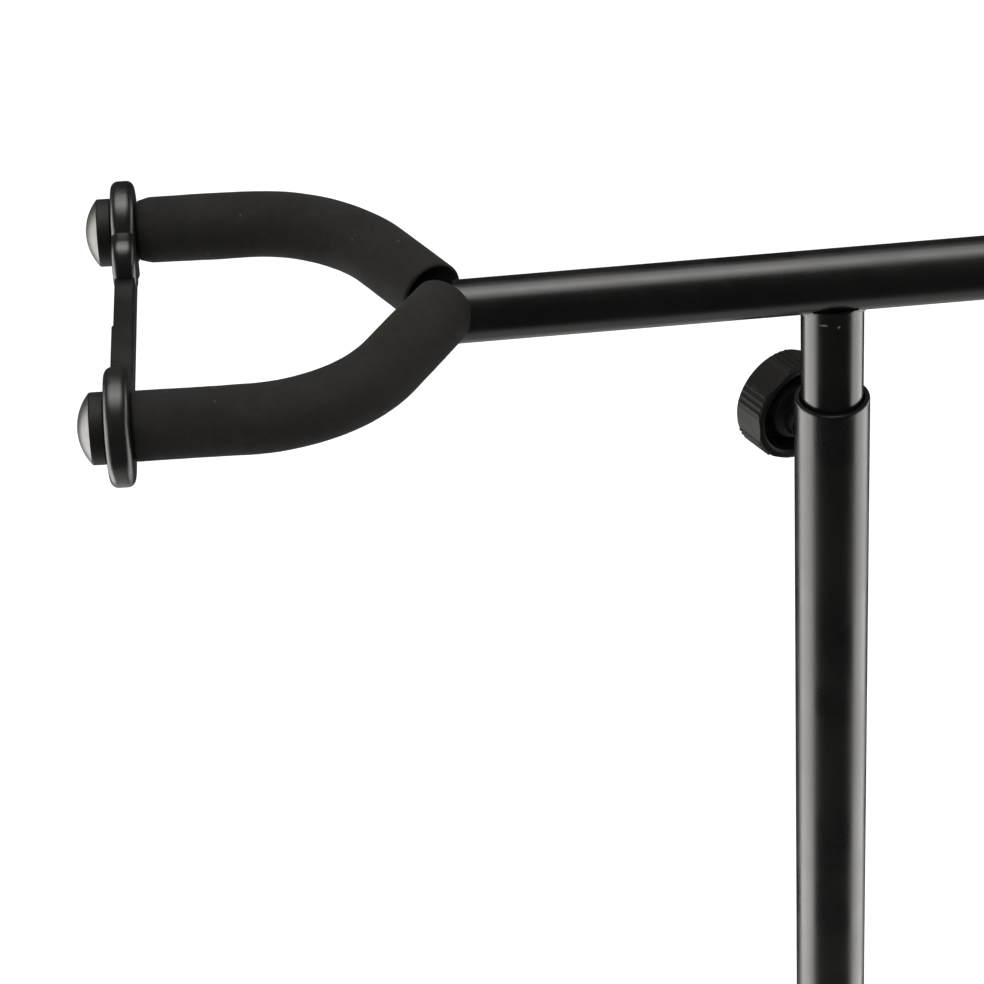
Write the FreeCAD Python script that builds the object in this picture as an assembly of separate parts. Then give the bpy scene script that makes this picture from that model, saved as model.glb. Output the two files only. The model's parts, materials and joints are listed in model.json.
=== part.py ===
"""Free-standing guitar rack: a telescoping post on four folding legs, with a cross arm that
carries a padded neck yoke at each end. Millimetres, +Z up, origin on the post's axis at floor level.
The arm lies along X. Each yoke is the same sub-assembly, turned half a turn about the post."""
import FreeCAD, Part
import math
import os

os.makedirs("parts", exist_ok=True)
V = FreeCAD.Vector
UP = V(0, 0, 1)

# ---- driving dimensions ----
ARM_HEIGHT = 850.0          # arm's axis above the floor, post at rest
ARM_REACH = 94.5            # post's axis to each end of the arm
ARM_R = 8.0                 # cross arm tube, 16 mm
INNER_R = 8.0               # inner post tube, 16 mm
TUBE_WALL = 1.2
TUBE_GAP = 0.5              # inner tube to the outer tube's bore
OUTER_R = INNER_R + TUBE_GAP + TUBE_WALL    # outer post tube, 19.4 mm
RIM_DROP = 34.9             # arm's axis down to the outer tube's rim
RIM_ROUND = 0.55            # rounding of the outer tube's rim
POST_TOP_RISE = 2.6         # inner post's flat top above the arm's underside
INNER_INSERT = 330.0        # inner post's length inside the outer tube
SLIDE_CLEARANCE = 0.05      # running clearance of tube and bush
BUSH_LENGTH = 34.0
BUSH_BELOW_SCREW = 9.0      # clamp screw's axis down to the upper bush
LOWER_BUSH_RISE = 70.0      # inner post's end up to the top of the lower bush
WELD = 0.4                  # leg of the weld between post and arm

PRONG_SPACING = 88.8        # between the two prongs of a yoke
ROD_R = 3.5                 # yoke rod, 7 mm
PRONG_BEND_R = 41.0
ROOT_BEND_R = 8.0
PRONG_FLARE = 58.6          # degrees between a prong's root and the arm
YOKE_RISE = 2.0             # yoke rod above the arm's axis at the weld
YOKE_TILT = 1.5             # degrees the prongs point upwards
FOAM_WALL = 5.0
FOAM_R = ROD_R + FOAM_WALL
FOAM_BORE_CLEARANCE = 0.05
FOAM_ROOT_GAP = 0.97        # foam's cut end to the yoke's middle plane
PRONG_FOAM_END = 78.9       # arm's end to the end of the foam, along the prong
ROOT_SINK = 0.4             # yoke rod let into the arm's end plug
PLUG_LENGTH = 12.0

LOCK_THICKNESS = 6.0        # lock bar's round ends
LOCK_BAR_THICKNESS = 5.1
LOCK_GAP = 0.3              # lock bar to foam and to bumper
LOCK_RING_R = ROD_R + 10.9
LOCK_HOOK_R = ROD_R + 9.5
LOCK_TOP_DROP = 1.0         # prong's axis down to the bar's upper edge
LOCK_BAR_HEIGHT = 8.4
LOCK_STEP = 0.4             # bar's ring half is this much thicker on its outer face
LOCK_STEP_FROM_RING = 46.0
LOCK_BORE_CLEARANCE = 0.08
LOCK_SLOT_CLEARANCE = 0.45
LOCK_MOUTH_RELIEF = 1.3     # hook's mouth opened towards the ring, for the bar's swing
LOCK_EDGE = 2.0             # rounding of the round ends' edges
LOCK_BAR_EDGE = 0.45        # rounding of the bar's edges
SHOULDER_R = 7.4            # rounded shoulder between hook and bar
SHOULDER_REACH = 13.9       # hook's axis to the shoulder's
SHOULDER_DROP = 0.9         # shoulder's axis below the hook's
BUMPER_R = ROD_R + 5.2
BUMPER_EDGE = 0.4
BUMPER_LENGTH = 3.5
CAP_HEIGHT = 3.3
CAP_SOCKET = 1.6

SCREW_R = 3.0               # M6 clamp screw
KNOB_R = 14.0
KNOB_DEPTH = 10.0
KNOB_WALL = 2.0
KNOB_BOSS_R = SCREW_R + 4.8
KNOB_BOSS_SET_BACK = 0.8    # boss behind the knob's near face
KNOB_FLAT = 13.3            # knob's axis to each grip flat
KNOB_EDGE = 0.7
KNOB_GAP = 3.2              # outer tube to the knob's near face
KNOB_SEGMENTS = 6
KNOB_TURN = -28.4           # grip pattern about the knob's axis, in degrees
RIBS_PER_SEGMENT = 4
RIB_R = 0.6
RIB_STAND = 0.35            # ribs' crests above the knob's round
RIB_PITCH = 7.0             # degrees between the ribs of a group
KNOB_DROP = 12.1            # rim down to the clamp screw's axis
KNOB_ANGLE = 120.0          # degrees from +X round to the clamp screw
SCREW_CLEARANCE = 0.06
CLAMP_NUT_R = SCREW_R + 3.0
CLAMP_NUT_LENGTH = 2.6
TIP_GAP = 0.3               # screw's tip to the tube it clamps

POST_FOOT = 96.0            # outer post's lower end above the floor
HUB_R = OUTER_R + 9.3
HUB_BOTTOM = 92.0
HUB_HEIGHT = 66.0
PIVOT_HEIGHT = 128.0
LEG_ANGLE = 22.0            # degrees the open legs fall below the level
LEG_COUNT = 4
LEG_FIRST = 45.0
LEG_R = 8.0
LEG_UNDER = 2.0             # floor to the lowest corner of the leg's tube
FOLDED_ANGLE = 88.0         # degrees the folded legs fall below the level
LEG_FOLD = FOLDED_ANGLE - LEG_ANGLE
LEG_HUB_CLEARANCE = 2.0     # folded leg to the hub
PIVOT_RADIUS = HUB_R + LEG_HUB_CLEARANCE + LEG_R    # leg bolt from the post's axis
KNUCKLE_R = LEG_R
KNUCKLE_FLAT = 2.0          # taken off each side of the knuckle
KNUCKLE_WIDTH = 2 * (LEG_R - KNUCKLE_FLAT)
KNUCKLE_SHANK = 24.0
KNUCKLE_NECK = KNUCKLE_R + 4.0    # pivot to the start of the leg's tube
LUG_WALL = 4.0
LUG_CLEARANCE = 0.35
LUG_R = KNUCKLE_NECK - 0.6  # lugs' rounded ends, inside the sweep of the leg's tube
STOP_GAP = 0.3
LEG_BOLT_R = 3.0
BOLT_CLEARANCE = 0.06
BOLT_HEAD_R = LEG_BOLT_R + 2.2
BOLT_HEAD_HEIGHT = 3.2
NUT_FLATS = 2 * (LEG_BOLT_R + 2.0)
NUT_HEIGHT = 5.0
FOOT_R = LEG_R + 3.0
FOOT_GRIP = 34.0
FOOT_SOLE = 4.0

REST_HEIGHT = 430.0         # body rest's rods above the floor
COLLAR_R = OUTER_R + 5.3
COLLAR_HEIGHT = 34.0
REST_REACH = 118.0          # post's axis to the padded bar
REST_ROD_R = 5.0
REST_BAR_HALF = 105.0
REST_FOAM_R = REST_ROD_R + FOAM_WALL
REST_FOAM_END = 6.0         # bare bar left for the end cap
REST_STEM_GAP = 1.5         # foam to the stem's weld
REST_CAP_R = REST_ROD_R + 3.0
REST_CAP_LENGTH = 9.0
REST_SOCKET = 4.5           # stem's length inside the collar
REST_KNOB_ANGLE = 90.0

# ---- worked out from them ----
RIM_Z = ARM_HEIGHT - RIM_DROP
BORE_R = OUTER_R - TUBE_WALL
POST_TOP_Z = ARM_HEIGHT - ARM_R + POST_TOP_RISE
KNOB_Z = RIM_Z - KNOB_DROP
FLARE = math.radians(PRONG_FLARE)
HALF_SPAN = PRONG_SPACING / 2.0
FOAM_ROOT_OFFSET = FOAM_R * math.cos(FLARE) + FOAM_ROOT_GAP
ROOT_TURN = math.pi / 2 - FLARE
ROOT_APEX = ARM_REACH + ROD_R - ROOT_SINK
ROOT_CORNER = ROOT_APEX - ROOT_BEND_R * (1.0 / math.cos(ROOT_TURN) - 1.0)
BEND_CORNER = ROOT_CORNER + HALF_SPAN / math.tan(FLARE)
FOAM_TIP = ARM_REACH + PRONG_FOAM_END
LOCK_NEAR = FOAM_TIP + LOCK_GAP
LOCK_FAR = LOCK_NEAR + LOCK_THICKNESS
BUMPER_NEAR = LOCK_FAR + LOCK_GAP
CAP_NEAR = BUMPER_NEAR + BUMPER_LENGTH
ROD_TIP = CAP_NEAR + CAP_SOCKET
LEG_FOOT_RISE = LEG_R * math.cos(math.radians(LEG_ANGLE)) + LEG_UNDER


def export(name, shape):
    shape.exportStep("parts/" + name + ".step")


def rod(radius, start, end):
    """Solid cylinder from one point to another."""
    along = end - start
    return Part.makeCylinder(radius, along.Length, start, along)


def pipe(outer, inner, start, end, spare=0.0):
    """Tube between two points; the bore runs past both ends by spare."""
    unit = (end - start).normalize()
    bore = rod(inner, start - unit * spare, end + unit * spare)
    return rod(outer, start, end).cut(bore)


def group(shapes):
    return Part.makeCompound(shapes)


def edges_along(shape, test):
    return [edge for edge in shape.Edges if test(edge)]


def round_circles(shape, radius, size):
    """Rounds the circular edges of one radius."""
    found = []
    for edge in shape.Edges:
        curve = edge.Curve
        if isinstance(curve, Part.Circle) and abs(curve.Radius - radius) < 1e-6:
            found.append(edge)
    return shape.makeFillet(size, found)


def filleted_path(points, radii):
    """Wire through the points, with an arc of the given radius at each inner point."""
    edges = []
    at = points[0]
    for i in range(1, len(points) - 1):
        corner = points[i]
        back = (points[i - 1] - corner).normalize()
        ahead = (points[i + 1] - corner).normalize()
        half = back.getAngle(ahead) / 2.0
        reach = radii[i - 1] / math.tan(half)
        middle_way = (back + ahead).normalize()
        first = corner + back * reach
        last = corner + ahead * reach
        middle = corner + middle_way * (radii[i - 1] / math.sin(half) - radii[i - 1])
        edges.append(Part.makeLine(at, first))
        edges.append(Part.Arc(first, middle, last).toShape())
        at = last
    edges.append(Part.makeLine(at, points[-1]))
    return Part.Wire(edges)


def swept(path, radius):
    """Round bar of the given radius along a wire."""
    start = path.Edges[0].Vertexes[0].Point
    ahead = path.Edges[0].tangentAt(path.Edges[0].FirstParameter)
    profile = Part.Wire([Part.makeCircle(radius, start, ahead)])
    return path.makePipeShell([profile], True, False)


def turned(shape, degrees):
    """Copy turned about the post's axis."""
    copy = shape.copy()
    copy.rotate(V(0, 0, 0), UP, degrees)
    return copy


# ---- yoke, drawn on the +X side in its own level plane and then tilted ----
def yoke_points(side):
    return V(BEND_CORNER, side * HALF_SPAN, 0)


def yoke_rod():
    points = [V(ROD_TIP, HALF_SPAN, 0), yoke_points(1), V(ROOT_CORNER, 0, 0)]
    points += [yoke_points(-1), V(ROD_TIP, -HALF_SPAN, 0)]
    return swept(filleted_path(points, [PRONG_BEND_R, ROOT_BEND_R, PRONG_BEND_R]), ROD_R)


def foam_sleeve(side):
    root = V(ROOT_CORNER + FOAM_ROOT_OFFSET / math.tan(FLARE), side * FOAM_ROOT_OFFSET, 0)
    points = [V(FOAM_TIP, side * HALF_SPAN, 0), yoke_points(side), root]
    path = filleted_path(points, [PRONG_BEND_R])
    return swept(path, FOAM_R).cut(swept(path, ROD_R + FOAM_BORE_CLEARANCE))


def prong_bumper(side):
    start = V(BUMPER_NEAR, side * HALF_SPAN, 0)
    end = V(CAP_NEAR, side * HALF_SPAN, 0)
    ring = round_circles(rod(BUMPER_R, start, end), BUMPER_R, BUMPER_EDGE)
    return ring.cut(rod(ROD_R, start - V(1, 0, 0), end + V(1, 0, 0)))


def prong_cap(side):
    """Shallow dome with a blind socket for the rod's end."""
    ball_r = (BUMPER_R ** 2 + CAP_HEIGHT ** 2) / (2.0 * CAP_HEIGHT)
    centre = V(CAP_NEAR + CAP_HEIGHT - ball_r, side * HALF_SPAN, 0)
    start = V(CAP_NEAR, side * HALF_SPAN, 0)
    dome = Part.makeSphere(ball_r, centre).common(rod(BUMPER_R, start, start + V(CAP_HEIGHT, 0, 0)))
    return dome.cut(rod(ROD_R, start - V(1, 0, 0), start + V(CAP_SOCKET, 0, 0)))


def bar_piece(near, thickness, start, end, low):
    """Straight stretch of the lock bar, with lightly rounded long edges."""
    box = Part.makeBox(thickness, end - start, LOCK_BAR_HEIGHT, V(near, start, low))
    long_edges = edges_along(box, lambda edge: abs(edge.Length - (end - start)) < 1e-6)
    return box.makeFillet(LOCK_BAR_EDGE, long_edges)


def shoulder(hook_near, width):
    """Round boss beside the hook and the level web that joins its crown to the hook."""
    axis = hook_near + V(0, SHOULDER_REACH, -SHOULDER_DROP)
    boss = round_circles(rod(SHOULDER_R, axis, axis + width), SHOULDER_R, LOCK_EDGE)
    web_at = hook_near + V(0, SHOULDER_REACH / 2.0, -SHOULDER_DROP)
    web = Part.makeBox(LOCK_THICKNESS, SHOULDER_REACH / 2.0, SHOULDER_R, web_at)
    crown = web_at.z + SHOULDER_R
    top_edges = edges_along(
        web,
        lambda edge: abs(edge.Length - SHOULDER_REACH / 2.0) < 1e-6
        and abs(edge.CenterOfMass.z - crown) < 1e-6)
    return boss.fuse(web.makeFillet(LOCK_EDGE, top_edges))


def lock_bar():
    """Flat bar across the prongs' tips: a ring on the +Y prong, a hook open below on the other."""
    ring_near = V(LOCK_NEAR, HALF_SPAN, 0)
    hook_near = V(LOCK_NEAR, -HALF_SPAN, 0)
    width = V(LOCK_THICKNESS, 0, 0)
    ring = round_circles(rod(LOCK_RING_R, ring_near, ring_near + width), LOCK_RING_R, LOCK_EDGE)
    hook = round_circles(rod(LOCK_HOOK_R, hook_near, hook_near + width), LOCK_HOOK_R, LOCK_EDGE)
    inset = (LOCK_THICKNESS - LOCK_BAR_THICKNESS) / 2.0
    low = -LOCK_TOP_DROP - LOCK_BAR_HEIGHT
    thin = bar_piece(LOCK_NEAR + inset, LOCK_BAR_THICKNESS, -HALF_SPAN, HALF_SPAN, low)
    step_from = HALF_SPAN - LOCK_STEP_FROM_RING
    thick = bar_piece(LOCK_NEAR + inset, LOCK_BAR_THICKNESS + LOCK_STEP, step_from, HALF_SPAN, low)
    body = thin.fuse([thick, ring, hook, shoulder(hook_near, width)])
    past = V(1, 0, 0)
    hole = rod(ROD_R + LOCK_BORE_CLEARANCE, ring_near - past, ring_near + width + past)
    slot_r = ROD_R + LOCK_SLOT_CLEARANCE
    seat = rod(slot_r, hook_near - past, hook_near + width + past)
    mouth_at = V(LOCK_NEAR - 1, -HALF_SPAN - slot_r, -LOCK_HOOK_R - 1)
    mouth_width = 2 * slot_r + LOCK_MOUTH_RELIEF
    mouth = Part.makeBox(LOCK_THICKNESS + 2, mouth_width, LOCK_HOOK_R + 1, mouth_at)
    return body.cut([hole, seat, mouth])


def placed_yoke(shape):
    """Lifts a yoke piece to the arm and tips its prongs up."""
    copy = shape.copy()
    copy.rotate(V(ARM_REACH, 0, 0), V(0, 1, 0), -YOKE_TILT)
    copy.translate(V(0, 0, ARM_HEIGHT + YOKE_RISE))
    return copy


def make_yokes():
    for name, turn in (("right", 0.0), ("left", 180.0)):
        pieces = {"yoke_rod_" + name: yoke_rod(), "lock_bar_" + name: lock_bar()}
        for end, side in (("ring", 1), ("hook", -1)):
            pieces["foam_%s_%s" % (name, end)] = foam_sleeve(side)
            pieces["bumper_%s_%s" % (name, end)] = prong_bumper(side)
            pieces["tip_cap_%s_%s" % (name, end)] = prong_cap(side)
        for node, shape in pieces.items():
            export(node, turned(placed_yoke(shape), turn))
        plug_start = V(ARM_REACH - PLUG_LENGTH, 0, ARM_HEIGHT)
        plug = rod(ARM_R - TUBE_WALL, plug_start, V(ARM_REACH, 0, ARM_HEIGHT))
        plug = plug.cut(placed_yoke(yoke_rod()))
        export("arm_plug_" + name, turned(plug, turn))


# ---- cross arm and inner post ----
def arm_solid():
    return rod(ARM_R, V(-ARM_REACH, 0, ARM_HEIGHT), V(ARM_REACH, 0, ARM_HEIGHT))


def make_mast():
    ends = V(ARM_REACH, 0, 0)
    axis = V(0, 0, ARM_HEIGHT)
    arm = pipe(ARM_R, ARM_R - TUBE_WALL, axis - ends, axis + ends, 1.0)
    for turn in (0.0, 180.0):
        arm = arm.cut(turned(placed_yoke(yoke_rod()), turn))
    export("cross_arm", arm)
    top = V(0, 0, POST_TOP_Z)
    bottom = V(0, 0, RIM_Z - INNER_INSERT)
    post = pipe(INNER_R, INNER_R - TUBE_WALL, bottom, top, 1.0).cut(arm_solid())
    export("inner_post", post)
    bead = Part.makeCylinder(INNER_R + WELD, ARM_R + WELD, V(0, 0, ARM_HEIGHT - ARM_R - WELD))
    around = rod(ARM_R + WELD, axis - ends, axis + ends)
    bead = bead.common(around).cut(arm_solid())
    bead = bead.cut(Part.makeCylinder(INNER_R, 2 * ARM_R + 4, V(0, 0, ARM_HEIGHT - 2 * ARM_R)))
    bead = bead.cut(Part.makeBox(60, 60, 20, V(-30, -30, top.z)))
    export("post_weld", bead)
    plug = rod(INNER_R - TUBE_WALL, bottom, bottom + V(0, 0, 10))
    plug = plug.fuse(rod(INNER_R, bottom - V(0, 0, 2), bottom))
    export("inner_post_plug", plug)


# ---- outer post, guide bush and clamp ----
def clamp_frame(degrees, height):
    """Outward unit vector of a clamp screw and the point where its axis meets the post's axis."""
    way = V(math.cos(math.radians(degrees)), math.sin(math.radians(degrees)), 0)
    return way, V(0, 0, height)


def screw_hole(degrees, height, start, end):
    way, centre = clamp_frame(degrees, height)
    return rod(SCREW_R + SCREW_CLEARANCE, centre + way * start, centre + way * end)


def clamp_knob(degrees, height, near):
    """Cup-shaped hand knob, open towards the post: grip flats with groups of ribs between them."""
    way, centre = clamp_frame(degrees, height)
    start = centre + way * near
    end = start + way * KNOB_DEPTH
    side_way = way.cross(UP)
    round_r = KNOB_R - RIB_STAND
    body = round_circles(rod(round_r, start, end), round_r, KNOB_EDGE)
    ribs = []
    for segment in range(KNOB_SEGMENTS):
        middle = KNOB_TURN + segment * 360.0 / KNOB_SEGMENTS
        for rib in range(RIBS_PER_SEGMENT):
            spread = (rib - (RIBS_PER_SEGMENT - 1) / 2.0) * RIB_PITCH
            out = radial(side_way, middle + spread)
            foot = start + way * KNOB_EDGE + out * (KNOB_R - RIB_R)
            ribs.append(rod(RIB_R, foot, foot + way * (KNOB_DEPTH - 2 * KNOB_EDGE)))
        flat_out = radial(side_way, middle + 180.0 / KNOB_SEGMENTS)
        flat_at = start + way * (KNOB_DEPTH / 2.0) + flat_out * KNOB_FLAT
        slab = Part.makeCylinder(KNOB_R, KNOB_R, flat_at, flat_out)
        body = body.cut(slab)
    body = body.fuse(ribs)
    inner_r = KNOB_FLAT - KNOB_WALL
    hollow_end = end - way * KNOB_WALL
    mouth = Part.makeCone(inner_r + KNOB_EDGE, inner_r, KNOB_EDGE, start, way)
    body = body.cut([rod(inner_r, start - way, hollow_end), mouth])
    boss_start = start + way * KNOB_BOSS_SET_BACK
    boss = round_circles(rod(KNOB_BOSS_R, boss_start, end - way * 0.5), KNOB_BOSS_R, 0.4)
    return body.fuse(boss).cut(rod(SCREW_R, start - way, hollow_end))


def radial(side_way, degrees):
    """Unit vector at an angle round a level axis; side_way is level and across that axis."""
    angle = math.radians(degrees)
    return side_way * math.cos(angle) + UP * math.sin(angle)


def clamp_screw(degrees, height, tip, head):
    way, centre = clamp_frame(degrees, height)
    return rod(SCREW_R, centre + way * tip, centre + way * head)


def make_outer_post():
    tube = pipe(OUTER_R, BORE_R, V(0, 0, POST_FOOT), V(0, 0, RIM_Z), 0.0)
    rim = []
    for edge in tube.Edges:
        flat = isinstance(edge.Curve, Part.Circle)
        if flat and abs(edge.Curve.Center.z - RIM_Z) < 1e-6 and edge.Curve.Radius > BORE_R + 0.1:
            rim.append(edge)
    tube = tube.makeFillet(RIM_ROUND, rim)
    tube = tube.cut(screw_hole(KNOB_ANGLE, KNOB_Z, 0.0, OUTER_R + 5))
    export("outer_post", tube)
    bush_tops = {"upper": KNOB_Z - BUSH_BELOW_SCREW, "lower": RIM_Z - INNER_INSERT + LOWER_BUSH_RISE}
    for name, top in bush_tops.items():
        bush = pipe(BORE_R, INNER_R + SLIDE_CLEARANCE, V(0, 0, top - BUSH_LENGTH), V(0, 0, top), 1.0)
        export("guide_bush_" + name, bush)
    way, centre = clamp_frame(KNOB_ANGLE, KNOB_Z)
    nut = rod(CLAMP_NUT_R, centre + way * (BORE_R + 0.2), centre + way * (OUTER_R + CLAMP_NUT_LENGTH))
    nut = nut.cut(Part.makeCylinder(OUTER_R, 60, V(0, 0, KNOB_Z - 30)))
    nut = nut.cut(screw_hole(KNOB_ANGLE, KNOB_Z, 0.0, OUTER_R + 10))
    export("clamp_nut", nut)
    near = OUTER_R + KNOB_GAP
    export("clamp_screw", clamp_screw(KNOB_ANGLE, KNOB_Z, INNER_R + TIP_GAP, near + KNOB_DEPTH - KNOB_WALL))
    export("clamp_knob", clamp_knob(KNOB_ANGLE, KNOB_Z, near))


# ---- base: hub, legs and feet ----
def leg_way(index):
    return LEG_FIRST + index * 360.0 / LEG_COUNT


def make_base():
    hub = Part.makeCylinder(HUB_R, HUB_HEIGHT, V(0, 0, HUB_BOTTOM))
    hub = round_circles(hub, HUB_R, 2.0)
    lug_half = KNUCKLE_WIDTH / 2.0 + LUG_CLEARANCE + LUG_WALL
    slot_half = KNUCKLE_WIDTH / 2.0 + LUG_CLEARANCE
    lug_at = V(0, -lug_half, PIVOT_HEIGHT - LUG_R)
    lug_side = V(0, lug_half, 0)
    pivot = V(PIVOT_RADIUS, 0, PIVOT_HEIGHT)
    bolts = []
    nuts = []
    for index in range(LEG_COUNT):
        lug = Part.makeBox(PIVOT_RADIUS, 2 * lug_half, 2 * LUG_R, lug_at)
        lug = lug.fuse(rod(LUG_R, pivot - lug_side, pivot + lug_side))
        hub = hub.fuse(turned(lug, leg_way(index)))
    for index in range(LEG_COUNT):
        slot_start = PIVOT_RADIUS - KNUCKLE_R - STOP_GAP
        slot_size = KNUCKLE_R + LUG_R + STOP_GAP + 5.0
        stop_z = PIVOT_HEIGHT + KNUCKLE_R + STOP_GAP
        slot_low = HUB_BOTTOM - 1.0
        slot_at = V(slot_start, -slot_half, slot_low)
        slot = Part.makeBox(slot_size, 2 * slot_half, stop_z - slot_low, slot_at)
        hub = hub.cut(turned(slot, leg_way(index)))
        bolt_hole = rod(LEG_BOLT_R, V(PIVOT_RADIUS, -40, PIVOT_HEIGHT), V(PIVOT_RADIUS, 40, PIVOT_HEIGHT))
        hub = hub.cut(turned(bolt_hole, leg_way(index)))
        head = V(PIVOT_RADIUS, lug_half, PIVOT_HEIGHT)
        tail = V(PIVOT_RADIUS, -lug_half, PIVOT_HEIGHT)
        side = V(0, 1, 0)
        bolt = rod(BOLT_HEAD_R, head, head + side * BOLT_HEAD_HEIGHT)
        bolt = round_circles(bolt, BOLT_HEAD_R, 0.8)
        bolt = bolt.fuse(rod(LEG_BOLT_R, head, tail - side * (NUT_HEIGHT + 1.0)))
        bolts.append(turned(bolt, leg_way(index)))
        nut = hexagon(NUT_FLATS, NUT_HEIGHT, tail, side * -1)
        nut = nut.cut(rod(LEG_BOLT_R, tail + side, tail - side * (NUT_HEIGHT + 2.0)))
        nuts.append(turned(nut, leg_way(index)))
    post_hole = Part.makeCylinder(OUTER_R, HUB_HEIGHT + 5, V(0, 0, POST_FOOT))
    hub = hub.cut(post_hole)
    export("base_hub", hub)
    export("leg_bolts", group(bolts))
    export("leg_nuts", group(nuts))


def hexagon(flats, height, start, way):
    """Hexagonal prism of the given width across flats."""
    side = way.cross(UP).normalize()
    radius = flats / math.sqrt(3.0)
    corners = []
    for k in range(7):
        angle = math.radians(60.0 * k)
        corners.append(start + side * (radius * math.cos(angle)) + UP * (radius * math.sin(angle)))
    return Part.Face(Part.makePolygon(corners)).extrude(way * height)


def leg_line():
    """Pivot, way and length of a leg on the +X side."""
    tilt = math.radians(LEG_ANGLE)
    way = V(math.cos(tilt), 0, -math.sin(tilt))
    pivot = V(PIVOT_RADIUS, 0, PIVOT_HEIGHT)
    length = (PIVOT_HEIGHT - LEG_FOOT_RISE) / math.sin(tilt)
    return pivot, way, length


def make_legs():
    pivot, way, length = leg_line()
    tube_start = pivot + way * KNUCKLE_NECK
    tube_end = pivot + way * length
    tube = pipe(LEG_R, LEG_R - TUBE_WALL, tube_start, tube_end, 1.0)
    half = V(0, KNUCKLE_WIDTH / 2.0, 0)
    eye = rod(KNUCKLE_R, pivot - half, pivot + half)
    neck = rod(LEG_R, pivot + way * 2.0, tube_start)
    between = V(0, -KNUCKLE_WIDTH / 2.0, PIVOT_HEIGHT - 100)
    neck = neck.common(Part.makeBox(200, KNUCKLE_WIDTH, 200, between))
    shank = rod(LEG_R - TUBE_WALL, tube_start, tube_start + way * KNUCKLE_SHANK)
    knuckle = eye.fuse([neck, shank])
    knuckle = knuckle.cut(rod(LEG_BOLT_R + BOLT_CLEARANCE, pivot - half * 2, pivot + half * 2))
    boot_start = tube_end - way * FOOT_GRIP
    boot = rod(FOOT_R, boot_start, tube_end + way * FOOT_SOLE)
    boot = round_circles(boot, FOOT_R, 1.5)
    boot = boot.cut(rod(LEG_R, boot_start - way, tube_end))
    boot = boot.cut(Part.makeBox(900, 200, 50, V(0, -100, -50)))
    for index in range(LEG_COUNT):
        export("leg_tube_%d" % (index + 1), turned(tube, leg_way(index)))
        export("leg_knuckle_%d" % (index + 1), turned(knuckle, leg_way(index)))
        export("foot_%d" % (index + 1), turned(boot, leg_way(index)))


# ---- body rest on the outer post ----
def make_body_rest():
    low = V(0, 0, REST_HEIGHT - COLLAR_HEIGHT / 2.0)
    collar = Part.makeCylinder(COLLAR_R, COLLAR_HEIGHT, low)
    collar = round_circles(collar, COLLAR_R, 1.5)
    bore = Part.makeCylinder(OUTER_R + SLIDE_CLEARANCE, COLLAR_HEIGHT + 2, low - V(0, 0, 1))
    collar = collar.cut(bore).cut(screw_hole(REST_KNOB_ANGLE, REST_HEIGHT, 0.0, COLLAR_R + 5))
    socket_start = COLLAR_R - REST_SOCKET
    for turn in (0.0, 180.0):
        stem_hole = rod(REST_ROD_R, V(socket_start, 0, REST_HEIGHT), V(COLLAR_R + 5, 0, REST_HEIGHT))
        collar = collar.cut(turned(stem_hole, turn))
    export("rest_collar", collar)
    near = COLLAR_R + KNOB_GAP
    head = near + KNOB_DEPTH - KNOB_WALL
    export("rest_screw", clamp_screw(REST_KNOB_ANGLE, REST_HEIGHT, OUTER_R + TIP_GAP, head))
    export("rest_knob", clamp_knob(REST_KNOB_ANGLE, REST_HEIGHT, near))
    bar_ends = V(0, REST_BAR_HALF, 0)
    middle = V(REST_REACH, 0, REST_HEIGHT)
    stem = rod(REST_ROD_R, V(socket_start, 0, REST_HEIGHT), middle)
    bar = stem.fuse(rod(REST_ROD_R, middle - bar_ends, middle + bar_ends)).removeSplitter()
    for name, turn in (("right", 0.0), ("left", 180.0)):
        export("rest_rod_" + name, turned(bar, turn))
        for end, side in (("a", 1), ("b", -1)):
            way = V(0, side, 0)
            foam_start = middle + way * (REST_ROD_R + REST_STEM_GAP)
            foam_end = middle + way * (REST_BAR_HALF - REST_FOAM_END)
            foam = pipe(REST_FOAM_R, REST_ROD_R + FOAM_BORE_CLEARANCE, foam_start, foam_end, 1.0)
            export("rest_foam_%s_%s" % (name, end), turned(foam, turn))
            cap_start = middle + way * (REST_BAR_HALF - REST_FOAM_END)
            cap = rod(REST_CAP_R, cap_start, cap_start + way * REST_CAP_LENGTH)
            cap = round_circles(cap, REST_CAP_R, 1.5)
            cap = cap.cut(rod(REST_ROD_R, cap_start - way, middle + way * REST_BAR_HALF))
            export("rest_cap_%s_%s" % (name, end), turned(cap, turn))


make_yokes()
make_mast()
make_outer_post()
make_base()
make_legs()
make_body_rest()
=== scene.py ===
"""Telescoping guitar rack: foam-covered neck yokes on a cross arm, above a body rest and folding
legs. Metres, +Z up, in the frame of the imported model."""
import json
import math

import bmesh
import bpy
from mathutils import Matrix, Quaternion, Vector, noise


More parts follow.
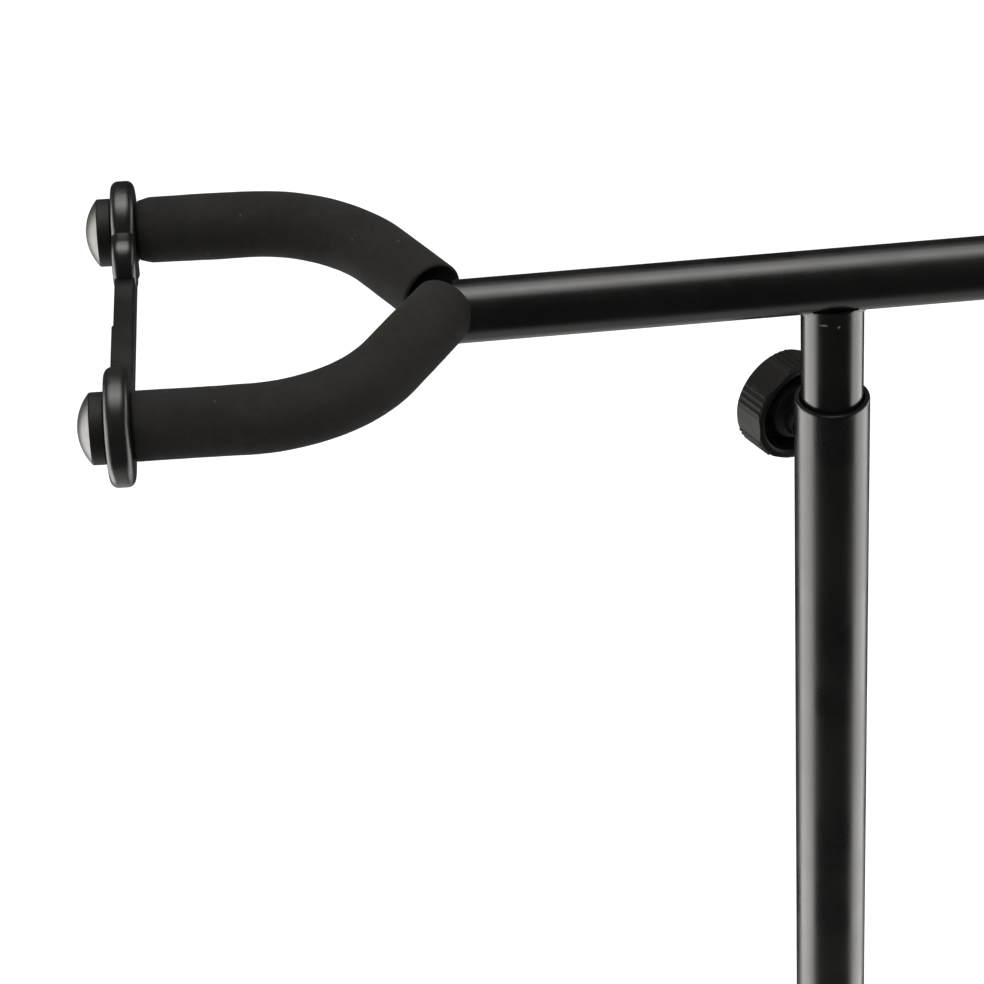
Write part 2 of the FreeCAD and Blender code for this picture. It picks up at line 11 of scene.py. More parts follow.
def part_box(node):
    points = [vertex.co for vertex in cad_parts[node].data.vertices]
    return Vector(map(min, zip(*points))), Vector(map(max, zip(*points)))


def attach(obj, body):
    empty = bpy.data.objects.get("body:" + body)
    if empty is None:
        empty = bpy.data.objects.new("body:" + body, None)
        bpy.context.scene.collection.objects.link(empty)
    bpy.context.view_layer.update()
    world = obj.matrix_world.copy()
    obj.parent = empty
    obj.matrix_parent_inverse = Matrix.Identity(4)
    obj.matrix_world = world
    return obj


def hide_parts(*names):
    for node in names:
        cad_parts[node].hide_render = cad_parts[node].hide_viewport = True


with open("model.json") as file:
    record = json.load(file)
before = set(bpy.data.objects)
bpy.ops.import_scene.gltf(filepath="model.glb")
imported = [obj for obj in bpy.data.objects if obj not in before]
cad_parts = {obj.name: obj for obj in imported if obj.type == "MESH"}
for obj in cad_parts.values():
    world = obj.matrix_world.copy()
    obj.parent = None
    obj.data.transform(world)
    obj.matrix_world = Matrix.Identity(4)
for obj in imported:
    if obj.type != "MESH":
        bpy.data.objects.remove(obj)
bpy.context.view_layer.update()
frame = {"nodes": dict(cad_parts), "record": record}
MM = 0.001

# ---- sizes that the sleeves follow ----
ROD_RADIUS = 3.5 * MM
SLEEVE_RADIUS = 8.5 * MM
PRONG_BEND = 41.0 * MM
PRONG_FLARE = math.radians(58.6)
YOKE_TILT = math.radians(1.5)
YOKE_RISE = 2.0 * MM
ROOT_BEYOND_ARM = 1.73 * MM      # arm's end to the corner where the two prongs meet
NEAR_ROOT = 1.4 * MM             # ring sleeve's end from the yoke's middle plane
FAR_ROOT = 5.3 * MM              # hook sleeve's end, pushed back by the ring sleeve
BORE_SPARE = 0.08 * MM           # sleeve's bore over the rod
SLEEVE_STEP = 0.55 * MM          # between the rings of a sleeve's mesh
SLEEVE_SIDES = 144
CUT_EDGE = 0.7 * MM              # rounding of a sleeve's cut ends
TRIM_LENGTH = 3.4 * MM           # hook sleeve's tip, cut a little slimmer to clear the lock bar
TRIM_DEPTH = 0.9 * MM
DISH_DEPTH = 6.0 * MM            # hook sleeve's root end, opened out over the bend of the rod

ARM_LOW, ARM_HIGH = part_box("cross_arm")
ARM_REACH = ARM_HIGH.x
ARM_Z = (ARM_LOW.z + ARM_HIGH.z) / 2


def middle(node):
    low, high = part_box(node)
    return (low + high) / 2


# ---- node groups ----
def new_group(name, inputs, outputs):
    group = bpy.data.node_groups.new(name, "ShaderNodeTree")
    for label, value in inputs:
        socket = group.interface.new_socket(label, in_out="INPUT", socket_type="NodeSocketFloat")
        socket.default_value = value
    for label in outputs:
        group.interface.new_socket(label, in_out="OUTPUT", socket_type="NodeSocketFloat")
    start = group.nodes.new("NodeGroupInput")
    end = group.nodes.new("NodeGroupOutput")
    return group, start, end


def add(tree, kind, **settings):
    made = tree.nodes.new(kind)
    for name, value in settings.items():
        setattr(made, name, value)
    return made


def math_node(tree, operation, first, second=None):
    made = add(tree, "ShaderNodeMath", operation=operation)
    for socket, value in zip(made.inputs, (first, second)):
        if value is None:
            continue
        if isinstance(value, (int, float)):
            socket.default_value = value
        else:
            tree.links.new(value, socket)
    return made.outputs[0]


def spread(tree, value, low, high, out_low=0.0, out_high=1.0):
    """Smooth step of a value from one range to another."""
    made = add(tree, "ShaderNodeMapRange", interpolation_type="SMOOTHSTEP")
    tree.links.new(value, made.inputs["Value"])
    limits = {"From Min": low, "From Max": high, "To Min": out_low, "To Max": out_high}
    for name, number in limits.items():
        made.inputs[name].default_value = number
    return made.outputs["Result"]


def noise_value(tree, position, scale, detail, roughness=0.5):
    made = add(tree, "ShaderNodeTexNoise")
    made.inputs["Detail"].default_value = detail
    made.inputs["Roughness"].default_value = roughness
    if isinstance(scale, (int, float)):
        made.inputs["Scale"].default_value = scale
    else:
        tree.links.new(scale, made.inputs["Scale"])
    tree.links.new(position, made.inputs["Vector"])
    return made.outputs["Fac"]


def grain_group():
    """Fine surface grain: a height for bumps, a broad mottle and a fine mottle."""
    tree, start, end = new_group("surface_grain", [("Scale", 1000.0), ("Sharpness", 0.5)],
                                 ["Height", "Mottle", "Fine Mottle"])
    place = add(tree, "ShaderNodeTexCoord").outputs["Object"]
    coarse = noise_value(tree, place, start.outputs["Scale"], 3.0, 0.55)
    cells = add(tree, "ShaderNodeTexVoronoi", feature="SMOOTH_F1")
    tree.links.new(start.outputs["Scale"], cells.inputs["Scale"])
    tree.links.new(place, cells.inputs["Vector"])
    sharp = math_node(tree, "MULTIPLY", cells.outputs["Distance"], start.outputs["Sharpness"])
    height = math_node(tree, "ADD", coarse, sharp)
    tree.links.new(height, end.inputs["Height"])
    broad = noise_value(tree, place, 38.0, 4.0, 0.6)
    tree.links.new(spread(tree, broad, 0.3, 0.7), end.inputs["Mottle"])
    fine = noise_value(tree, place, 420.0, 3.0, 0.6)
    tree.links.new(spread(tree, fine, 0.32, 0.68), end.inputs["Fine Mottle"])
    return tree


def wear_group():
    """Rubbed edges: where a rounded normal leaves the true one, broken up by noise."""
    tree, start, end = new_group("edge_wear", [("Width", 0.0005), ("Patches", 260.0)], ["Wear"])
    rounded = add(tree, "ShaderNodeBevel", samples=4)
    tree.links.new(start.outputs["Width"], rounded.inputs["Radius"])
    true_normal = add(tree, "ShaderNodeNewGeometry").outputs["Normal"]
    facing = add(tree, "ShaderNodeVectorMath", operation="DOT_PRODUCT")
    tree.links.new(rounded.outputs["Normal"], facing.inputs[0])
    tree.links.new(true_normal, facing.inputs[1])
    edge = spread(tree, facing.outputs["Value"], 0.995, 0.86)
    place = add(tree, "ShaderNodeTexCoord").outputs["Object"]
    patches = spread(tree, noise_value(tree, place, start.outputs["Patches"], 3.0, 0.6), 0.42, 0.62)
    tree.links.new(math_node(tree, "MULTIPLY", edge, patches), end.inputs["Wear"])
    return tree


def dust_group():
    """Dust and lint: a soft film on what faces up, and small scattered specks."""
    tree, start, end = new_group("settled_dust", [("Speck Scale", 420.0), ("Speck Share", 0.05)],
                                 ["Film", "Specks"])
    place = add(tree, "ShaderNodeTexCoord").outputs["Object"]
    up = add(tree, "ShaderNodeSeparateXYZ")
    tree.links.new(add(tree, "ShaderNodeNewGeometry").outputs["Normal"], up.inputs[0])
    facing_up = spread(tree, up.outputs["Z"], 0.15, 1.0)
    clouds = spread(tree, noise_value(tree, place, 55.0, 5.0, 0.62), 0.38, 0.72)
    tree.links.new(math_node(tree, "MULTIPLY", facing_up, clouds), end.inputs["Film"])
    cells = add(tree, "ShaderNodeTexVoronoi", feature="F1")
    tree.links.new(start.outputs["Speck Scale"], cells.inputs["Scale"])
    tree.links.new(place, cells.inputs["Vector"])
    tone = add(tree, "ShaderNodeSeparateColor")
    tree.links.new(cells.outputs["Color"], tone.inputs[0])
    chosen = math_node(tree, "LESS_THAN", tone.outputs[0], start.outputs["Speck Share"])
    size = math_node(tree, "MULTIPLY", tone.outputs[1], 0.2)
    inside = math_node(tree, "LESS_THAN", cells.outputs["Distance"], size)
    tree.links.new(math_node(tree, "MULTIPLY", chosen, inside), end.inputs["Specks"])
    return tree


def scratch_group():
    """Long thin marks round or along a part, from stretched noise."""
    tree, start, end = new_group("fine_scratches", [("Across", 2600.0), ("Along", 60.0)],
                                 ["Lines", "Runs"])
    place = add(tree, "ShaderNodeTexCoord").outputs["Object"]
    factors = add(tree, "ShaderNodeCombineXYZ")
    tree.links.new(start.outputs["Along"], factors.inputs["X"])
    tree.links.new(start.outputs["Across"], factors.inputs["Y"])
    tree.links.new(start.outputs["Across"], factors.inputs["Z"])
    stretched = add(tree, "ShaderNodeVectorMath", operation="MULTIPLY")
    tree.links.new(place, stretched.inputs[0])
    tree.links.new(factors.outputs["Vector"], stretched.inputs[1])
    lines = noise_value(tree, stretched.outputs["Vector"], 1.0, 2.0)
    tree.links.new(lines, end.inputs["Lines"])
    runs = noise_value(tree, stretched.outputs["Vector"], 0.13, 4.0)
    tree.links.new(spread(tree, runs, 0.66, 0.72), end.inputs["Runs"])
    return tree


GRAIN = grain_group()
WEAR = wear_group()
DUST = dust_group()
SCRATCH = scratch_group()


# ---- materials ----
def place_group(tree, group, **values):
    made = add(tree, "ShaderNodeGroup", node_tree=group)
    for name, value in values.items():
        made.inputs[name.replace("_", " ")].default_value = value
    return made


def mix_colour(tree, factor, first, second):
    made = add(tree, "ShaderNodeMix", data_type="RGBA")
    tree.links.new(factor, made.inputs["Factor"])
    for socket, value in ((made.inputs[6], first), (made.inputs[7], second)):
        if isinstance(value, tuple):
            socket.default_value = (*value, 1.0)
        else:
            tree.links.new(value, socket)
    return made.outputs[2]


def new_material(name, **fixed):
    material = bpy.data.materials.new(name)
    material.use_nodes = True
    tree = material.node_tree
    shader = tree.nodes["Principled BSDF"]
    for label, value in fixed.items():
        shader.inputs[label.replace("_", " ")].default_value = value
    return material, tree, shader


def add_bump(tree, shader, height, distance, strength=1.0):
    bump = add(tree, "ShaderNodeBump")
    bump.inputs["Distance"].default_value = distance
    bump.inputs["Strength"].default_value = strength
    tree.links.new(height, bump.inputs["Height"])
    tree.links.new(bump.outputs["Normal"], shader.inputs["Normal"])


SPECK_SCALE = 430.0
SPECK_STRENGTH = 0.3
SPECK_COLOUR = (0.2, 0.188, 0.165)
FILM_COLOUR = (0.11, 0.105, 0.095)
FILM_ROUGHNESS = 0.5
SHADE = 0.82                     # fine mottle's share of the dark colour
FINE_SHARE = 0.45
EDGE_WIDTH = 0.4 * MM
EDGE_PATCHES = 240.0
EDGE_ROUGHNESS = 0.12
RUN_ROUGHNESS = 0.1


def finish(name, colours, rough, grain, bump, wear=None, dust=0.25, specks=0.03, lines=None,
           **fixed):
    """Material of one finish. colours is its (dark, light) pair; rough its (low, high) pair;
    grain is (scale, sharpness); wear is (edge colour, share); lines is (across, along, depth)."""
    material, tree, shader = new_material(name, **fixed)
    texture = place_group(tree, GRAIN, Scale=grain[0], Sharpness=grain[1])
    settled = place_group(tree, DUST, Speck_Scale=SPECK_SCALE, Speck_Share=specks)
    colour = mix_colour(tree, texture.outputs["Mottle"], *colours)
    shade = tuple(channel * SHADE for channel in colours[0])
    fine = math_node(tree, "MULTIPLY", texture.outputs["Fine Mottle"], FINE_SHARE)
    colour = mix_colour(tree, fine, colour, shade)
    roughness = spread(tree, texture.outputs["Mottle"], 0.0, 1.0, rough[0], rough[1])
    height = texture.outputs["Height"]
    if wear:
        rubbed = place_group(tree, WEAR, Width=EDGE_WIDTH, Patches=EDGE_PATCHES)
        amount = math_node(tree, "MULTIPLY", rubbed.outputs["Wear"], wear[1])
        colour = mix_colour(tree, amount, colour, wear[0])
        rougher = math_node(tree, "MULTIPLY", amount, EDGE_ROUGHNESS)
        roughness = math_node(tree, "ADD", roughness, rougher)
    if lines:
        marks = place_group(tree, SCRATCH, Across=lines[0], Along=lines[1])
        depth = math_node(tree, "MULTIPLY", marks.outputs["Lines"], lines[2])
        height = math_node(tree, "ADD", height, depth)
        worn = math_node(tree, "MULTIPLY", marks.outputs["Runs"], RUN_ROUGHNESS)
        roughness = math_node(tree, "ADD", roughness, worn)
    film = math_node(tree, "MULTIPLY", settled.outputs["Film"], dust)
    colour = mix_colour(tree, film, colour, FILM_COLOUR)
    speck = math_node(tree, "MULTIPLY", settled.outputs["Specks"], SPECK_STRENGTH)
    colour = mix_colour(tree, speck, colour, SPECK_COLOUR)
    rougher = math_node(tree, "MULTIPLY", film, FILM_ROUGHNESS)
    roughness = math_node(tree, "ADD", roughness, rougher)
    tree.links.new(colour, shader.inputs["Base Color"])
    tree.links.new(roughness, shader.inputs["Roughness"])
    add_bump(tree, shader, height, bump)
    return material


COAT_COLOURS = ((0.0060, 0.0058, 0.0054), (0.0085, 0.0081, 0.0075))
COAT_WEAR = ((0.09, 0.085, 0.075), 0.35)

FINISHES = {
    "powder_coat": finish(
        "satin_black_powder_coat", COAT_COLOURS, (0.26, 0.33), (1250.0, 0.25), 0.000011,
        wear=COAT_WEAR, dust=0.06, specks=0.012, IOR=1.5),
    "foam": finish(
        "black_foam_skin", ((0.0165, 0.0157, 0.0135), (0.0225, 0.0212, 0.0185)), (0.84, 0.94),
        (2600.0, 0.9), 0.00006, dust=0.08, specks=0.035, lines=(900.0, 220.0, 0.25),
        Specular_IOR_Level=0.22),
    "lock_plastic": finish(
        "moulded_black_nylon", ((0.010, 0.010, 0.0095), (0.014, 0.0138, 0.013)), (0.28, 0.35),
        (1900.0, 0.3), 0.000012, wear=((0.05, 0.049, 0.046), 0.4), dust=0.07, specks=0.015,
        IOR=1.5),
    "bumper_rubber": finish(
        "black_bumper_rubber", ((0.009, 0.009, 0.0086), (0.0125, 0.0122, 0.0116)), (0.5, 0.62),
        (1700.0, 0.5), 0.00002, dust=0.07, specks=0.03, Specular_IOR_Level=0.25),
    "satin_metal": finish(
        "dark_satin_metal", ((0.115, 0.112, 0.110), (0.145, 0.142, 0.139)), (0.34, 0.42),
        (2200.0, 0.2), 0.000008, wear=((0.2, 0.2, 0.19), 0.3), dust=0.04, specks=0.01,
        lines=(5200.0, 900.0, 0.6), Metallic=1.0),
    "knob_plastic": finish(
        "grip_black_plastic", ((0.010, 0.0096, 0.0088), (0.0145, 0.014, 0.0128)), (0.46, 0.56),
        (1500.0, 0.45), 0.000022, wear=((0.045, 0.043, 0.038), 0.4), dust=0.05, specks=0.05,
        Specular_IOR_Level=0.1),
    "zinc": finish(
        "clear_zinc_plate", ((0.47, 0.48, 0.49), (0.6, 0.6, 0.57)), (0.28, 0.42),
        (1100.0, 0.6), 0.00001, wear=((0.7, 0.7, 0.68), 0.3), dust=0.08, specks=0.02,
        lines=(3000.0, 500.0, 0.4), Metallic=1.0),
    "foot_rubber": finish(
        "black_foot_rubber", ((0.013, 0.0128, 0.012), (0.022, 0.021, 0.02)), (0.62, 0.8),
        (1300.0, 0.7), 0.00004, wear=((0.05, 0.048, 0.044), 0.5), dust=0.3, specks=0.06, IOR=1.5),
    "moulded_plastic": finish(
        "moulded_black_plastic", ((0.011, 0.011, 0.0108), (0.016, 0.0158, 0.0155)), (0.4, 0.5),
        (1400.0, 0.5), 0.000028, wear=((0.05, 0.05, 0.048), 0.4), dust=0.14, specks=0.03, IOR=1.5),
}

SMOOTH_COAT = finish(
    "smooth_black_powder_coat", COAT_COLOURS, (0.19, 0.24), (1250.0, 0.2), 0.000007,
    wear=COAT_WEAR, dust=0.06, specks=0.012, IOR=1.5)

# Bare marks: across from the post's middle, down from the arm's axis, half width, half height.
SCUFFS = (
    (-3.3 * MM, 8.5 * MM, 1.0 * MM, 0.36 * MM),
    (0.5 * MM, 8.9 * MM, 0.42 * MM, 0.42 * MM),
    (4.9 * MM, 8.2 * MM, 0.3 * MM, 0.7 * MM),
)
SCUFF_DEPTH = 3.0 * MM
SCUFF_COLOUR = (0.30, 0.285, 0.26)
SCUFF_STRENGTH = 0.5


def add_scuffs(material):
    """Small bare marks on the front of the inner post, under the arm."""
    tree = material.node_tree
    shader = tree.nodes["Principled BSDF"]
    colour = shader.inputs["Base Color"].links[0].from_socket
    place = add(tree, "ShaderNodeTexCoord").outputs["Object"]
    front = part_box("inner_post")[0].y
    for x, drop, wide, tall in SCUFFS:
        from_mark = add(tree, "ShaderNodeVectorMath", operation="SUBTRACT")
        tree.links.new(place, from_mark.inputs[0])
        from_mark.inputs[1].default_value = (x, front, ARM_Z - drop)
        shares = add(tree, "ShaderNodeVectorMath", operation="DIVIDE")
        tree.links.new(from_mark.outputs["Vector"], shares.inputs[0])
        shares.inputs[1].default_value = (wide, SCUFF_DEPTH, tall)
        away = add(tree, "ShaderNodeVectorMath", operation="LENGTH")
        tree.links.new(shares.outputs["Vector"], away.inputs[0])
        ragged = spread(tree, noise_value(tree, place, 2100.0, 3.0, 0.7), 0.3, 0.7, 0.55, 1.5)
        away = math_node(tree, "MULTIPLY", away.outputs["Value"], ragged)
        mask = spread(tree, away, 1.0, 0.6, 0.0, SCUFF_STRENGTH)
        colour = mix_colour(tree, mask, colour, SCUFF_COLOUR)
    tree.links.new(colour, shader.inputs["Base Color"])


add_scuffs(SMOOTH_COAT)

for part in frame["record"]["subparts"]:
    node = frame["nodes"][part["node"]]
    node.data.materials.clear()
    coat = SMOOTH_COAT if part["node"] == "inner_post" else FINISHES[part["material_slot"]]
    node.data.materials.append(coat)


# ---- foam sleeves ----
def rounded_route(points, bend):
    """Points along straight runs with one arc of the given radius at the middle point."""
    start, corner, end = points
    back = (start - corner).normalized()
    ahead = (end - corner).normalized()
    half = back.angle(ahead) / 2
    reach = bend / math.tan(half)
    first = corner + back * reach
    last = corner + ahead * reach
    centre = corner + (back + ahead).normalized() * (bend / math.sin(half))
    route = runs(start, first)
    spin_axis = (first - centre).cross(last - centre).normalized()
    sweep = (first - centre).angle(last - centre)
    steps = max(8, round(bend * sweep / SLEEVE_STEP))
    for i in range(1, steps + 1):
        turn = Matrix.Rotation(sweep * i / steps, 3, spin_axis)
        route.append(centre + turn @ (first - centre))
    return route + runs(last, end)[1:]


def runs(start, end):
    count = max(2, round((end - start).length / SLEEVE_STEP))
    return [start.lerp(end, i / count) for i in range(count + 1)]


SWELL_SCALE, SWELL_HEIGHT = 55, 0.16 * MM
DENT_SCALE, DENT_HEIGHT = 190, 0.055 * MM
PEBBLE_SCALE, PEBBLE_HEIGHT = 900, 0.018 * MM


def skin_offset(at, seed, size):
    """Uneven skin of extruded foam: slow swells, soft dents and a faint pebble."""
    swell = noise.noise(at * SWELL_SCALE + Vector((seed, 0, 0))) * SWELL_HEIGHT
    dents = noise.noise(at * DENT_SCALE + Vector((0, seed, 0))) * DENT_HEIGHT
    pebble = noise.noise(at * PEBBLE_SCALE + Vector((0, 0, seed))) * PEBBLE_HEIGHT
    return size + swell + dents + pebble


def sleeve_mesh(name, route, up, radius, bore, seed, trim=0.0, dish=0.0):
    """Tube of foam along a level route, with softly rounded cut ends and an open bore.
    trim is how much slimmer its first end is; dish is how deep its last end is hollowed."""
    count = len(route)
    forward = []
    for i in range(count):
        forward.append((route[min(i + 1, count - 1)] - route[max(i - 1, 0)]).normalized())
    lengths = [0.0]
    for i in range(1, count):
        lengths.append(lengths[-1] + (route[i] - route[i - 1]).length)
    total = lengths[-1]
    mesh = bmesh.new()

    def ring(index, size, bumpy, shift=0.0):
        side = forward[index].cross(up).normalized()
        made = []
        for k in range(SLEEVE_SIDES):
            angle = 2 * math.pi * k / SLEEVE_SIDES
            out = side * math.cos(angle) + up * math.sin(angle)
            at = route[index] + forward[index] * shift
            reach = skin_offset(at + out * size, seed, size) if bumpy else size
            made.append(mesh.verts.new(at + out * reach))
        return made

    rings = []
    for i in range(count):
        inset = min(lengths[i], total - lengths[i])
        drop = 0.0
        if inset < CUT_EDGE:
            drop = CUT_EDGE - math.sqrt(max(0.0, CUT_EDGE ** 2 - (CUT_EDGE - inset) ** 2))
        drop += trim * max(0.0, 1.0 - lengths[i] / TRIM_LENGTH)
        rings.append(ring(i, radius - drop, True))
    wall = radius - CUT_EDGE - bore
    for share in (0.1, 0.2, 0.45, 0.7, 0.9, 1.0):
        rings.append(ring(count - 1, radius - CUT_EDGE - wall * share, False, -dish * share ** 0.5))
    for i in range(count - 2 - round(dish / SLEEVE_STEP), 0, -3):
        rings.append(ring(i, bore, False))
    rings.append(ring(0, bore, False))
    for share in (0.9, 0.7, 0.45, 0.2):
        rings.append(ring(0, radius - trim - CUT_EDGE - (wall - trim) * share, False))
    rings.append(rings[0])
    for one, two in zip(rings, rings[1:]):
        for k in range(SLEEVE_SIDES):
            after = (k + 1) % SLEEVE_SIDES
            mesh.faces.new((one[k], one[after], two[after], two[k]))
    bmesh.ops.remove_doubles(mesh, verts=mesh.verts, dist=1e-7)
    bmesh.ops.recalc_face_normals(mesh, faces=mesh.faces)
    data = bpy.data.meshes.new(name)
    mesh.to_mesh(data)
    mesh.free()
    for face in data.polygons:
        face.use_smooth = True
    piece = bpy.data.objects.new(name, data)
    bpy.context.scene.collection.objects.link(piece)
    data.materials.append(FINISHES["foam"])
    return piece


def fit_sleeve(piece, body, node):
    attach(piece, body)
    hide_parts(node)


def yoke_place(point, hand):
    """Takes a point of the level right-hand yoke to its place; hand is 1 for right, -1 for left."""
    along = point.x - ARM_REACH
    tipped = Vector((ARM_REACH + along * math.cos(YOKE_TILT), point.y, along * math.sin(YOKE_TILT)))
    return Vector((hand * tipped.x, hand * tipped.y, ARM_Z + YOKE_RISE + tipped.z))


def make_yoke_sleeves():
    for name, hand in (("right", 1), ("left", -1)):
        ring = middle("tip_cap_%s_ring" % name)
        hook = middle("tip_cap_%s_hook" % name)
        half_span = abs(ring.y - hook.y) / 2
        root_x = ARM_REACH + ROOT_BEYOND_ARM
        bend_x = root_x + half_span / math.tan(PRONG_FLARE)
        up = Vector((-hand * math.sin(YOKE_TILT), 0, math.cos(YOKE_TILT)))
        for end, side, root, trim, dish in (
                ("ring", 1, NEAR_ROOT, 0.0, 0.0), ("hook", -1, FAR_ROOT, TRIM_DEPTH, DISH_DEPTH)):
            node = "foam_%s_%s" % (name, end)
            low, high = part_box(node)
            tip_x = (max(abs(low.x), abs(high.x)) - ARM_REACH) / math.cos(YOKE_TILT) + ARM_REACH
            points = [
                Vector((tip_x, side * half_span, 0)),
                Vector((bend_x, side * half_span, 0)),
                Vector((root_x + root / math.tan(PRONG_FLARE), side * root, 0)),
            ]
            route = [yoke_place(point, hand) for point in rounded_route(points, PRONG_BEND)]
            seed = 3.1 + 2.7 * side + 11.3 * hand
            bore = ROD_RADIUS + BORE_SPARE
            label = "sleeve_%s_%s" % (name, end)
            piece = sleeve_mesh(label, route, up, SLEEVE_RADIUS, bore, seed, trim, dish)
            fit_sleeve(piece, "mast", node)


def make_rest_sleeves():
    for name in ("left", "right"):
        for end in ("a", "b"):
            node = "rest_foam_%s_%s" % (name, end)
            low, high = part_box(node)
            centre = (low + high) / 2
            radius = (high.z - low.z) / 2
            route = runs(Vector((centre.x, low.y, centre.z)), Vector((centre.x, high.y, centre.z)))
            bore = radius - (SLEEVE_RADIUS - ROD_RADIUS) + BORE_SPARE
            seed = centre.x * 40 + centre.y * 70
            label = "rest_sleeve_%s_%s" % (name, end)
            piece = sleeve_mesh(label, route, Vector((0, 0, 1)), radius, bore, seed)
            fit_sleeve(piece, "body_rest", node)


make_yoke_sleeves()
make_rest_sleeves()


# ---- floor, light and camera ----
FLOOR_GLOW = 0.66        # added where the camera sees the floor
FLOOR_HALF = 14.0
FLOOR_SHADES = ((0.72, 0.72, 0.72), (0.75, 0.75, 0.75))


def make_floor():
    data = bpy.data.meshes.new("studio_floor")
    signs = ((-1, -1), (1, -1), (1, 1), (-1, 1))
    corners = [Vector((x * FLOOR_HALF, y * FLOOR_HALF, 0)) for x, y in signs]
    data.from_pydata(corners, [], [(0, 1, 2, 3)])
    floor = bpy.data.objects.new("studio_floor", data)
    bpy.context.scene.collection.objects.link(floor)
    material, tree, shader = new_material("pale_floor", Roughness=0.9)
    place = add(tree, "ShaderNodeTexCoord").outputs["Object"]
    cloud = spread(tree, noise_value(tree, place, 1.6, 3.0), 0.3, 0.7)
    shade = mix_colour(tree, cloud, *FLOOR_SHADES)
    tree.links.new(shade, shader.inputs["Base Color"])
    glow = add(tree, "ShaderNodeEmission")
    ray = add(tree, "ShaderNodeLightPath")
    seen = math_node(tree, "MULTIPLY", ray.outputs["Is Camera Ray"], FLOOR_GLOW)
    tree.links.new(seen, glow.inputs["Strength"])
    both = add(tree, "ShaderNodeAddShader")
    tree.links.new(shader.outputs[0], both.inputs[0])
    tree.links.new(glow.outputs[0], both.inputs[1])
    tree.links.new(both.outputs[0], tree.nodes["Material Output"].inputs["Surface"])
    data.materials.append(material)
    floor.visible_glossy = False


def window(tree, value, low, high, soft):
    """One inside low to high, falling to nothing over soft on each side."""
    rise = spread(tree, value, low - soft, low)
    fall = spread(tree, value, high, high + soft, 1.0, 0.0)
    return math_node(tree, "MULTIPLY", rise, fall)


# Each panel of the studio: turn from, turn to, soft, rise from, rise to, soft (degrees), strength.
# Turn is measured from the front, to either side; rise is above the level.
PANELS = [
    (74.0, 118.0, 14.0, -62.0, 8.0, 14.0, 4.7),
    (0.0, 180.0, 20.0, 80.0, 90.0, 12.0, 3.5),
    (100.0, 180.0, 24.0, 58.0, 84.0, 10.0, 3.5),
    (0.0, 180.0, 20.0, -90.0, -62.0, 16.0, 0.75),
]
PANEL_FILL = 0.036       # light between the panels
PANEL_TINT = (1.0, 0.985, 0.955, 1.0)
RIGHT_SHARE = 0.76       # right-hand panels' share of the left-hand ones
SOFT_LIGHT = 0.44        # even light on rough surfaces
SOFT_TINT = (1.0, 1.0, 1.0, 1.0)
BACKDROP_GLOW = 0.6      # added to the soft light where the camera sees past the floor


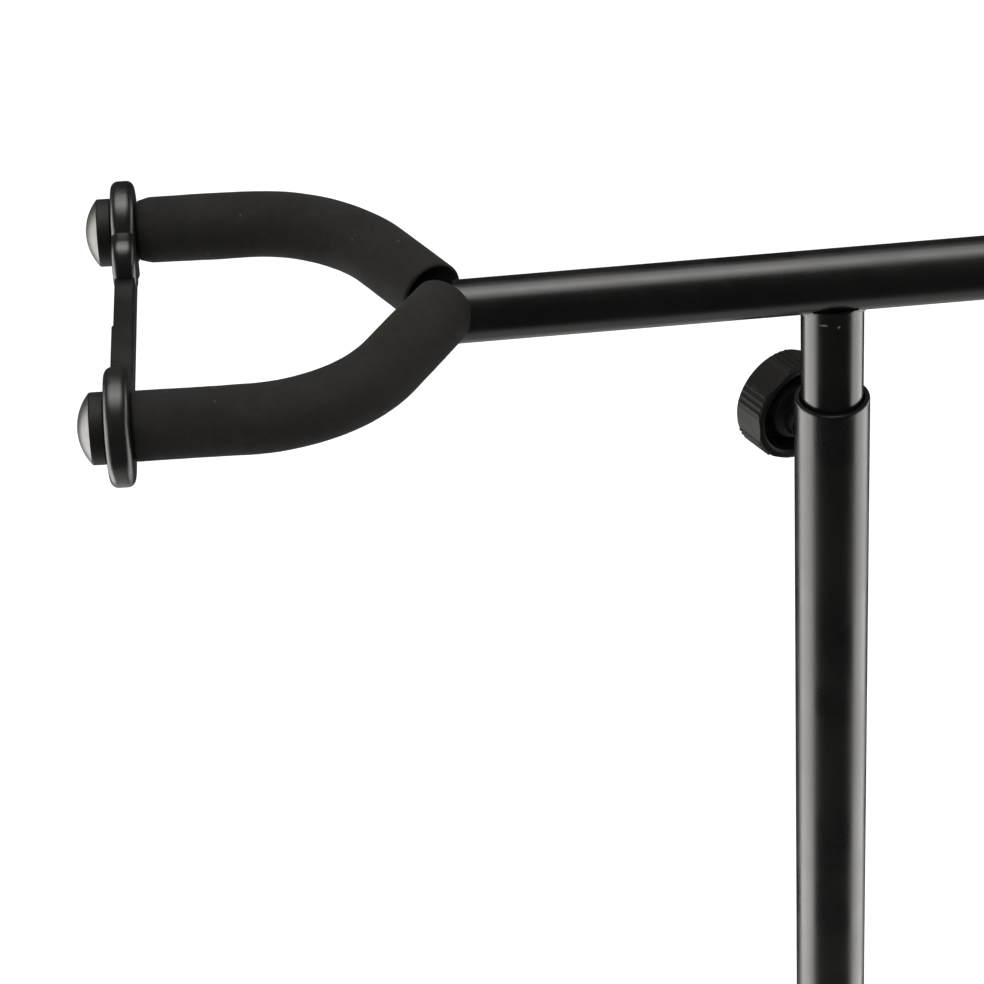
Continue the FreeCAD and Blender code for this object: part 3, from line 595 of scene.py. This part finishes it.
def make_world():
    world = bpy.data.worlds.new("studio")
    bpy.context.scene.world = world
    world.use_nodes = True
    tree = world.node_tree
    tree.nodes.clear()
    way = add(tree, "ShaderNodeTexCoord").outputs["Generated"]
    parts = add(tree, "ShaderNodeSeparateXYZ")
    tree.links.new(way, parts.inputs[0])
    x, y, z = parts.outputs
    side = math_node(tree, "ABSOLUTE", x)
    front = math_node(tree, "MULTIPLY", y, -1.0)
    turn = math_node(tree, "DEGREES", math_node(tree, "ARCTAN2", side, front))
    rise = math_node(tree, "DEGREES", math_node(tree, "ARCSINE", z))
    total = None
    for turn_low, turn_high, turn_soft, rise_low, rise_high, rise_soft, strength in PANELS:
        across = window(tree, turn, turn_low, turn_high, turn_soft)
        upward = window(tree, rise, rise_low, rise_high, rise_soft)
        panel = math_node(tree, "MULTIPLY", math_node(tree, "MULTIPLY", across, upward), strength)
        total = panel if total is None else math_node(tree, "ADD", total, panel)
    total = math_node(tree, "ADD", total, PANEL_FILL)
    total = math_node(tree, "MULTIPLY", total, spread(tree, x, 0.0, 0.4, 1.0, RIGHT_SHARE))
    glossy = add(tree, "ShaderNodeBackground")
    glossy.inputs["Color"].default_value = PANEL_TINT
    tree.links.new(total, glossy.inputs["Strength"])
    soft = add(tree, "ShaderNodeBackground")
    soft.inputs["Color"].default_value = SOFT_TINT
    ray = add(tree, "ShaderNodeLightPath")
    seen = math_node(tree, "MULTIPLY", ray.outputs["Is Camera Ray"], BACKDROP_GLOW)
    tree.links.new(math_node(tree, "ADD", seen, SOFT_LIGHT), soft.inputs["Strength"])
    choose = add(tree, "ShaderNodeMixShader")
    tree.links.new(ray.outputs["Is Glossy Ray"], choose.inputs["Fac"])
    tree.links.new(soft.outputs[0], choose.inputs[1])
    tree.links.new(glossy.outputs[0], choose.inputs[2])
    tree.links.new(choose.outputs[0], add(tree, "ShaderNodeOutputWorld").inputs["Surface"])


def make_lamp(name, place, aim, size, power):
    data = bpy.data.lights.new(name, "AREA")
    data.shape = "DISK"
    data.size = size
    data.energy = power
    lamp = bpy.data.objects.new(name, data)
    lamp.location = place
    lamp.rotation_euler = (Vector(aim) - Vector(place)).to_track_quat("-Z", "Y").to_euler()
    lamp.visible_camera = False
    lamp.visible_glossy = False
    bpy.context.scene.collection.objects.link(lamp)


CAMERA_TURN = math.radians(-1.777)
CAMERA_RISE = math.radians(35.844)
CAMERA_ROLL = math.radians(-3.808)
CAMERA_SENSOR = 36.0
CAMERA_LENS = 129.15
CAMERA_AIM = Vector((-0.0885, -0.0085, 0.8001))
CAMERA_DISTANCE = 0.9


def make_camera():
    level = math.cos(CAMERA_RISE)
    back = Vector((math.sin(CAMERA_TURN) * level, -math.cos(CAMERA_TURN) * level,
                   math.sin(CAMERA_RISE)))
    data = bpy.data.cameras.new("studio_camera")
    data.sensor_width = CAMERA_SENSOR
    data.lens = CAMERA_LENS
    camera = bpy.data.objects.new("studio_camera", data)
    camera.location = CAMERA_AIM + back * CAMERA_DISTANCE
    camera.rotation_mode = "QUATERNION"
    rolled = Quaternion((0, 0, 1), CAMERA_ROLL)
    camera.rotation_quaternion = (-back).to_track_quat("-Z", "Y") @ rolled
    bpy.context.scene.collection.objects.link(camera)
    bpy.context.scene.camera = camera


make_floor()
make_world()
make_lamp("key_lamp", place=(-0.6, -1.2, 2.6), aim=(0, 0, 0.7), size=1.6, power=15.0)
make_lamp("top_lamp", place=(0.3, 1.0, 2.9), aim=(0, 0, 0.6), size=2.0, power=18.0)
make_camera()
bpy.context.scene.view_settings.view_transform = "Standard"
